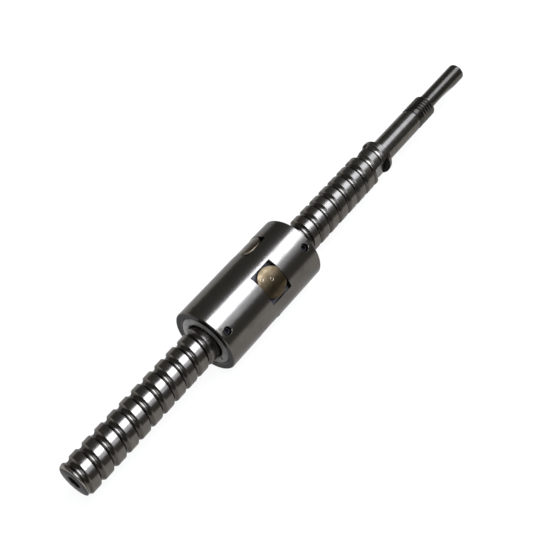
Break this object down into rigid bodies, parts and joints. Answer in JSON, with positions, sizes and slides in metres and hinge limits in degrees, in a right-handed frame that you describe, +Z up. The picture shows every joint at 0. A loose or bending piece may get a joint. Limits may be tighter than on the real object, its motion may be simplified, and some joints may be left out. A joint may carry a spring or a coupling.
{
  "type": "ball screw",
  "caption": "Ground ball screw shaft with machined ends, carrying a plain cylindrical ball nut with button deflectors, recirculating balls and end wipers.",
  "frame": {"origin": "on the screw axis, in the plane of the shoulder that the support bearing seats against", "axes": "+X along the screw to the drive end, +Z up, +Y completing a right-handed frame"},
  "size_m": [0.1945, 0.022, 0.022],
  "materials": {
    "ground_steel": "ground",
    "satin_steel": "satin ground",
    "bronze": "machined bronze",
    "wiper_resin": "moulded",
    "black_oxide": "black oxide",
    "ball_steel": "polished"
  },
  "bodies": {
    "screw": {"screw_shaft": "ground_steel"},
    "nut_carriage": {"wiper_drive_end": "wiper_resin"},
    "nut": {"nut_body": "satin_steel", "deflector_1": "bronze", "deflector_2": "bronze", "deflector_3": "bronze", "deflector_4": "bronze", "wiper_free_end": "wiper_resin", "wiper_set_screw_free_end": "black_oxide", "wiper_set_screw_drive_end": "black_oxide", "ball_1_01": "ball_steel", "ball_1_02": "ball_steel", "ball_1_03": "ball_steel", "ball_1_04": "ball_steel", "ball_1_05": "ball_steel", "ball_1_06": "ball_steel", "ball_1_07": "ball_steel", "ball_1_08": "ball_steel", "ball_1_09": "ball_steel", "ball_1_10": "ball_steel", "ball_1_11": "ball_steel", "ball_1_12": "ball_steel", "ball_2_01": "ball_steel", "ball_2_02": "ball_steel", "ball_2_03": "ball_steel", "ball_2_04": "ball_steel", "ball_2_05": "ball_steel", "ball_2_06": "ball_steel", "ball_2_07": "ball_steel", "ball_2_08": "ball_steel", "ball_2_09": "ball_steel", "ball_2_10": "ball_steel", "ball_2_11": "ball_steel", "ball_2_12": "ball_steel", "ball_3_01": "ball_steel", "ball_3_02": "ball_steel", "ball_3_03": "ball_steel", "ball_3_04": "ball_steel", "ball_3_05": "ball_steel", "ball_3_06": "ball_steel", "ball_3_07": "ball_steel", "ball_3_08": "ball_steel", "ball_3_09": "ball_steel", "ball_3_10": "ball_steel", "ball_3_11": "ball_steel", "ball_3_12": "ball_steel", "ball_4_01": "ball_steel", "ball_4_02": "ball_steel", "ball_4_03": "ball_steel", "ball_4_04": "ball_steel", "ball_4_05": "ball_steel", "ball_4_06": "ball_steel", "ball_4_07": "ball_steel", "ball_4_08": "ball_steel", "ball_4_09": "ball_steel", "ball_4_10": "ball_steel", "ball_4_11": "ball_steel", "ball_4_12": "ball_steel"}
  },
  "joints": [
    {"name": "nut_travel", "type": "slide", "parent": "screw", "child": "nut_carriage", "axis": [1, 0, 0], "range_m": [-0.052, 0.0369]},
    {"name": "nut_turn", "type": "hinge", "parent": "nut_carriage", "child": "nut", "pos_m": [0, 0, 0], "axis": [1, 0, 0], "range_deg": [-2660, 3748]}
  ],
  "couplings": [
    {"joint": "nut_turn", "follows": "nut_travel", "rad_per_m": -1256.6}
  ]
}
